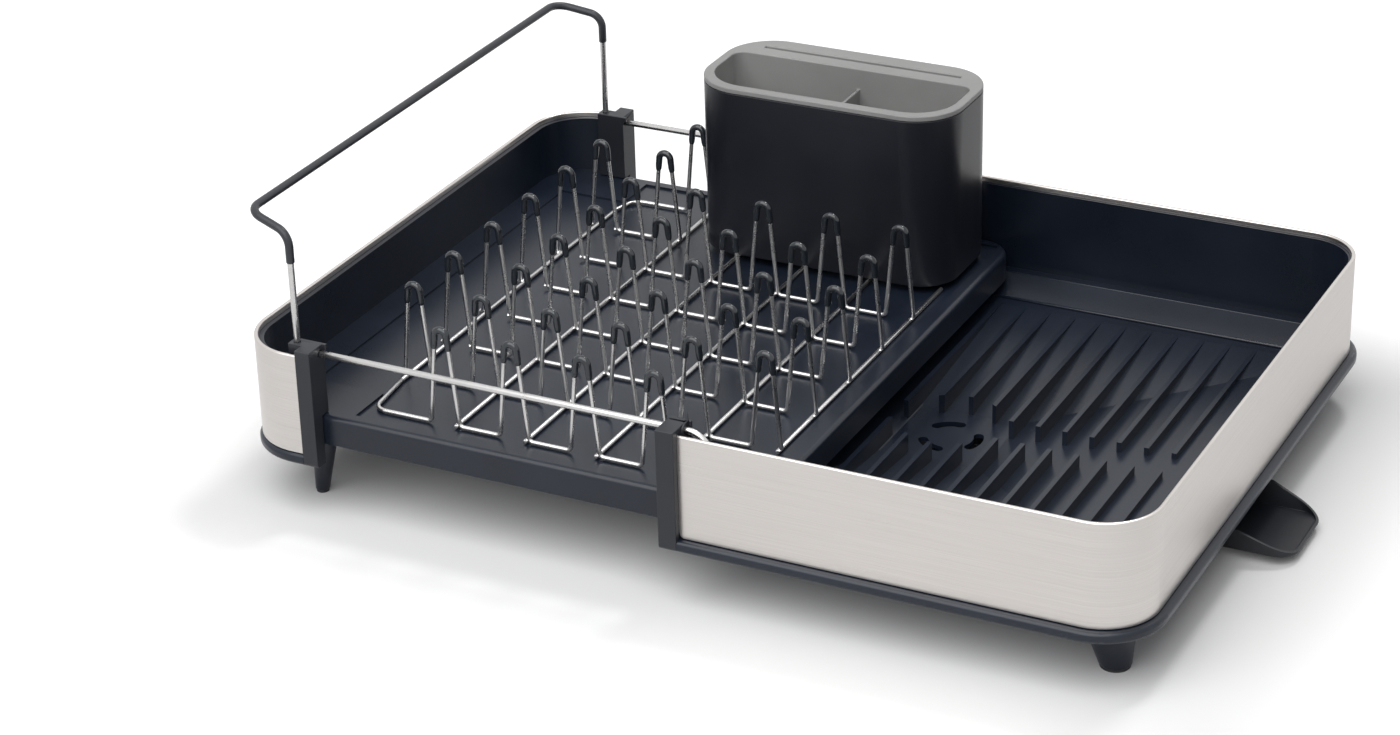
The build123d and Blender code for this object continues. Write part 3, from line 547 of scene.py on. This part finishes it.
# %% A round wire along a path
def rod(path, tangents, radius, reference=(0.0, 0.0, 1.0), sides=14, dome=0.5):
    """Tube round a path: at point P with tangent T the ring is P + r (u cos w + v sin w).

    u is the unit vector of T x reference and v is T x u. Each end has rings of radius r cos h, at
    dome (1 - sin h) inside the end, for a few angles h. radius is one number or one for each point.
    """
    r = np.broadcast_to(np.asarray(radius, float), (len(path),))
    h = np.radians([70.0, 50.0, 25.0])
    low = path[:1] + tangents[:1] * (dome * (1 - np.sin(h)))[:, None]
    high = path[-1:] - tangents[-1:] * (dome * (1 - np.sin(h[::-1])))[:, None]
    inner = path.copy()
    inner[0] += tangents[0] * dome
    inner[-1] -= tangents[-1] * dome
    centres = np.concatenate([low, inner, high])
    directions = np.concatenate([np.repeat(tangents[:1], 3, 0), tangents, np.repeat(tangents[-1:], 3, 0)])
    radii = np.concatenate([r[0] * np.cos(h), r, r[-1] * np.cos(h[::-1])])
    u = np.cross(directions, np.asarray(reference, float))
    u /= np.linalg.norm(u, axis=1, keepdims=True)
    v = np.cross(directions, u)
    w = np.linspace(0.0, 2 * np.pi, sides, endpoint=False)
    around = u[:, None] * np.cos(w)[None, :, None] + v[:, None] * np.sin(w)[None, :, None]
    return tube(centres[:, None] + radii[:, None, None] * around)


# %% [markdown]
# The bands are one sheet bent round three sides. The top edge is hemmed: folded in and down over
# the plastic wall, so that it has a narrow rounded rim and no cutting edge. That rim is the
# bright line round the rack. The band is its cross-section carried along a U-shaped outline.

# %% Steel bands with a hemmed rim
LEFT = -262.25
RIM_WIDTH = 2.2
RIM_RISE = 0.9
SHEET = 0.6
HEM = 3.2
BAND_CORNER = {"outer_steel_band": 30.0, "inner_steel_band": 33.5}


def band(low, high, closed_high, foot_corner, corner):
    """Cross-section of the band carried round its outline.

    The outline is a U with rounded corners. The section goes up the outer face, over the rim in a
    half ellipse, inset = w / 2 (1 - cos e) and z = top - rise + rise sin e, down and up the hem,
    and down the inner face. A point of the outline moves by inset against its outward normal
    T x Z. The lower corner of each open end is rounded: x is set back by
    c - sqrt(c^2 - (c - z)^2) near the foot.
    """
    near, far = (low, high) if closed_high else (high, low)
    side = -1.0 if closed_high else 1.0
    corners = [
        (near[0], side * high[1], 0.0), (far[0], side * high[1], 0.0),
        (far[0], -side * high[1], 0.0), (near[0], -side * high[1], 0.0),
    ]
    points, tangents = bent_path(corners, corner, steps=24)
    outward = np.cross(tangents, (0.0, 0.0, 1.0))
    foot_z = low[2] + np.array([0.0, 0.15, 0.5, 1.0, 1.7, 3.0])
    e = np.linspace(0.0, np.pi, 13)
    rim_inset = RIM_WIDTH / 2 * (1 - np.cos(e))
    rim_z = high[2] - RIM_RISE + RIM_RISE * np.sin(e)
    hem_inset = np.array([RIM_WIDTH, RIM_WIDTH - 0.1, RIM_WIDTH - SHEET + 0.1, RIM_WIDTH - SHEET, RIM_WIDTH - SHEET])
    hem_z = high[2] - np.array([HEM - 0.1, HEM, HEM, HEM - 0.1, SHEET])
    inset = np.concatenate(
        [[0.15, 0.0, 0.0, 0.0, 0.0, 0.0], rim_inset, hem_inset, np.full(6, SHEET), [SHEET - 0.15]]
    )
    z = np.concatenate([foot_z, rim_z, hem_z, [high[2] - SHEET], foot_z[:0:-1], foot_z[:1]])
    rings = points[:, None] - outward[:, None] * inset[None, :, None]
    rings[:, :, 2] = z[None, :]
    if foot_corner:
        rise = np.clip(foot_corner - (z - low[2]), 0.0, foot_corner)
        set_back = foot_corner - np.sqrt(foot_corner**2 - rise**2)
        toward = 1.0 if closed_high else -1.0
        rings[0, :, 0] += toward * set_back
        rings[-1, :, 0] += toward * set_back
    return tube(rings)


for node, closed_high, foot_corner in (("outer_steel_band", True, 3.0), ("inner_steel_band", False, 0.0)):
    low, high = (np.array(corner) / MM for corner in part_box(node))
    points, faces = band(low, high, closed_high, foot_corner, BAND_CORNER[node])
    new_piece(f"{node}_hemmed", body_of_node[node], points, faces, band_steel, [node])
    print(node, "from", low.round(1), "to", high.round(1), "in", len(faces), "faces")


# %% [markdown]
# The plate rack is bent wire: each row is one wire that runs level, turns up into a narrow
# loop and comes down again, and the rows are welded onto straight cross wires. All the sizes
# below are those of the solids, in millimetres.

# %% Sizes of the plate rack
WIRE = 2.4
COLUMN_PITCH, ROW_PITCH = 40.7, (356.0 - 24.7 - 39.4) / 7
COLUMNS = LEFT + 72.5 + COLUMN_PITCH * np.arange(6)
ROWS = dict(zip("abcdefgh", -178.0 + 24.7 + ROW_PITCH * np.arange(8)))
ROW_COLUMNS = {"a": slice(1, 5), "g": slice(0, 2), "h": slice(1, 2)}
CROSS_Z = 56.5 - 1.2 + 0.3 + WIRE / 2
ROW_Z = CROSS_Z
HALF_BASE, PRONG_TOP, TIP_BEND, FOOT_BEND = 8.35, 110.2, 3.5, 2.5
tip_centre = PRONG_TOP - TIP_BEND
rise = tip_centre - ROW_Z
lean = math.acos(TIP_BEND / math.hypot(HALF_BASE, rise)) - math.atan2(rise, HALF_BASE)
apex_z = ROW_Z + HALF_BASE / math.tan(lean)
bend_centre = HALF_BASE + FOOT_BEND * math.tan((math.radians(90) - lean) / 2)
cross_offset = bend_centre - math.sqrt((FOOT_BEND + WIRE + 0.05) ** 2 - (ROW_Z + FOOT_BEND - CROSS_Z) ** 2)
end_leg_z = CROSS_Z + (1 + math.sin(lean)) * WIRE / 2 + 0.05
end_leg_x = HALF_BASE - (end_leg_z - ROW_Z) * math.tan(lean)
print("a prong leans", round(math.degrees(lean), 2), "degrees, its legs would meet at z", round(apex_z, 1))


# %% Rows of prongs
def row_corners(name):
    """Corners and bend radii of one row: foot, tip and foot of each prong, and where it starts."""
    x = COLUMNS[ROW_COLUMNS.get(name, slice(0, 6))]
    y = ROWS[name]
    corner_x = np.stack([x - HALF_BASE, x, x + HALF_BASE], 1).ravel()
    corner_z = np.tile([ROW_Z, apex_z, ROW_Z], len(x))
    bends = np.tile([FOOT_BEND, TIP_BEND, FOOT_BEND], len(x))[:-1]
    corners = np.stack([corner_x, np.full(len(corner_x), y), corner_z], 1)
    corners[-1] = (x[-1] + end_leg_x, y, end_leg_z)
    cross_x = COLUMNS[0] - cross_offset
    if name == "a":
        start = [(cross_x, y + 34.5 - 0.3, ROW_Z), (cross_x + 4.0, y, ROW_Z)]
        bends = np.append(8.0, bends)
    elif name == "h":
        start = [(cross_x, y - 34.5 / 2 + 0.3, ROW_Z), (cross_x + 4.0, y, ROW_Z)]
        bends = np.append(9.0, bends)
    else:
        start = [(x[0] - bend_centre - 0.6, y, ROW_Z)]
    return np.concatenate([start, corners]), bends


for name in "abcdefgh":
    corners, bends = row_corners(name)
    path, tangents = bent_path(corners, bends)
    points, faces = rod(path, tangents, WIRE / 2)
    new_piece(f"prong_row_{name}", "plate_rack", points, faces, wire_steel, [f"rack_row_{name}"])
print("rows of prongs:", len(ROWS), "with", len(faces), "faces in the last")

# %% Cross wires, rails and hoop
for index in range(1, 7):
    low, high = (np.array(corner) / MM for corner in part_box(f"rack_cross_wire_{index}"))
    middle = (low + high) / 2
    ends = np.array([[middle[0], low[1], middle[2]], [middle[0], high[1], middle[2]]])
    direction = np.array([[0.0, 1.0, 0.0], [0.0, 1.0, 0.0]])
    points, faces = rod(ends, direction, WIRE / 2)
    new_piece(
        f"cross_wire_{index}", "plate_rack", points, faces, wire_steel, [f"rack_cross_wire_{index}"]
    )

for side in ("front", "back"):
    low, high = (np.array(corner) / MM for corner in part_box(f"{side}_rail"))
    y = (low[1] + high[1]) / 2
    radius = (high[1] - low[1]) / 2
    rail = [(low[0], y, high[2] - radius), (high[0] - radius, y, high[2] - radius), (high[0] - radius, y, low[2])]
    path, tangents = bent_path(rail, 13.4, steps=16)
    points, faces = rod(path, tangents, radius, (0.0, 1.0, 0.0), sides=20)
    new_piece(f"{side}_rail_wire", "narrow_tray", points, faces, wire_steel, [f"{side}_rail"])


def hoop_corners(foot_z):
    """Corners of the hoop: up one leg, out to the bar, along it and back."""
    leg = (LEFT + 36.5, 178.0 - 9.0)
    bar = (LEFT + 9.4, 178.0 - 15.0)
    half = [(leg[0], -leg[1], foot_z), (leg[0], -leg[1], 156.5), (bar[0], -bar[1], 162.5)]
    return half + [(x, -y, z) for x, y, z in half[::-1]]


hoop_ref = np.array([1.0, 0.0, 1.0]) / math.sqrt(2)
hoop_bends = [9.0, 11.0, 11.0, 9.0]
path, tangents = bent_path(hoop_corners(96.0 - 22.0 + 0.3), hoop_bends, steps=12)
points, faces = rod(path, tangents, 1.7, hoop_ref, sides=20)
new_piece("hoop_wire", "side_hoop", points, faces, wire_steel, ["side_hoop_wire"])
path, tangents = bent_path(hoop_corners(140.0), hoop_bends, steps=12)
points, faces = rod(path, tangents, 2.2, hoop_ref, sides=24, dome=0.8)
new_piece("hoop_soft_coat", "side_hoop", points, faces, hoop_coat, ["side_hoop_sleeve"])
print("wires and rails done")


# %% [markdown]
# The prongs end in a soft coat, dipped on, so that they don't mark the plates. It is thickest
# over the loop and thins out at its lower ends.

# %% Dipped tips
def evenly(path, tangents, count):
    """Path and tangents at count places, evenly spaced along its length."""
    steps = np.linalg.norm(np.diff(path, axis=0), axis=1)
    length = np.concatenate([[0.0], np.cumsum(steps)])
    places = np.linspace(0.0, length[-1], count)
    moved = np.stack([np.interp(places, length, path[:, axis]) for axis in range(3)], 1)
    turned = np.stack([np.interp(places, length, tangents[:, axis]) for axis in range(3)], 1)
    return moved, turned / np.linalg.norm(turned, axis=1, keepdims=True)


TIP_LENGTH = 11.5
TIP_COAT = 0.62
low_x = TIP_BEND * math.cos(lean) + (TIP_LENGTH - TIP_BEND) * math.sin(lean)
low_z = tip_centre + TIP_BEND * math.sin(lean) - (TIP_LENGTH - TIP_BEND) * math.cos(lean)
for name in "abcdefgh":
    tips = []
    for x in COLUMNS[ROW_COLUMNS.get(name, slice(0, 6))]:
        y = ROWS[name]
        path, tangents = bent_path([(x - low_x, y, low_z), (x, y, apex_z), (x + low_x, y, low_z)], TIP_BEND, 14)
        path, tangents = evenly(path, tangents, 40)
        along = np.linspace(-1.0, 1.0, 40)
        coat = WIRE / 2 + 0.06 + TIP_COAT * (1 - np.abs(along) ** 10) * (0.85 + 0.15 * np.cos(along * np.pi / 2))
        tips.append(rod(path, tangents, coat, sides=16, dome=0.3))
    points, faces = gathered(tips)
    new_piece(f"dipped_tips_{name}", "plate_rack", points, faces, tip_coat, [f"rack_tips_{name}"])
print("tips:", len(tips), "in the last row")

# %% [markdown]
# Where two wires cross they are spot welded: the metal runs together in a small bead. The
# beads are small ellipsoids at the crossings, all in one piece.

# %% Weld beads
def beads(centres, radii, rows=7, columns=12):
    """Ellipsoids: centre + (rx sin p cos w, ry sin p sin w, rz cos p), with p from near 0 to near pi."""
    p = np.linspace(0.12, np.pi - 0.12, rows)
    w = np.linspace(0.0, 2 * np.pi, columns, endpoint=False)
    ring = np.stack(
        [np.outer(np.sin(p), np.cos(w)), np.outer(np.sin(p), np.sin(w)), np.outer(np.cos(p), np.ones(columns))], -1
    )
    return gathered([tube(centre + ring * radii) for centre in centres])


bead_places = []
for name, y in ROWS.items():
    x = COLUMNS[ROW_COLUMNS.get(name, slice(0, 6))]
    bead_places += [(place + cross_offset + 1.0, y, CROSS_Z + 0.95) for place in x]
    if name in "bcdef":
        bead_places.append((COLUMNS[0] - cross_offset - 1.0, y, CROSS_Z + 0.95))
points, faces = beads(np.array(bead_places), np.array([1.25, 1.7, 0.9]))
new_piece("weld_beads", "plate_rack", points, faces, wire_steel)
print("beads:", len(bead_places))

# %% [markdown]
# The drip tray's ledges have a fine moulded ridge along each edge: one at the top, where the
# flat ledge turns down, and one at its foot, where the ribbed floor starts.

# %% Ridges of the ledges
tray_low, tray_high = (np.array(corner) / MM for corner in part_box("outer_steel_band"))
ridges = []
for side in (-1.0, 1.0):
    for y, z, radius, short in ((168.5, 39.6, 0.6, 14.2), (150.0, 32.7, 0.9, 4.8)):
        ends = np.array([[tray_low[0] + 2.0, side * y, z], [tray_high[0] - short, side * y, z]])
        direction = np.array([[1.0, 0.0, 0.0], [1.0, 0.0, 0.0]])
        ridges.append(rod(ends, direction, radius, (0.0, 0.0, 1.0), sides=12, dome=0.3))
points, faces = gathered(ridges)
new_piece("ledge_ridges", "drip_tray", points, faces, tray_plastic)
print("ridges:", len(ridges))
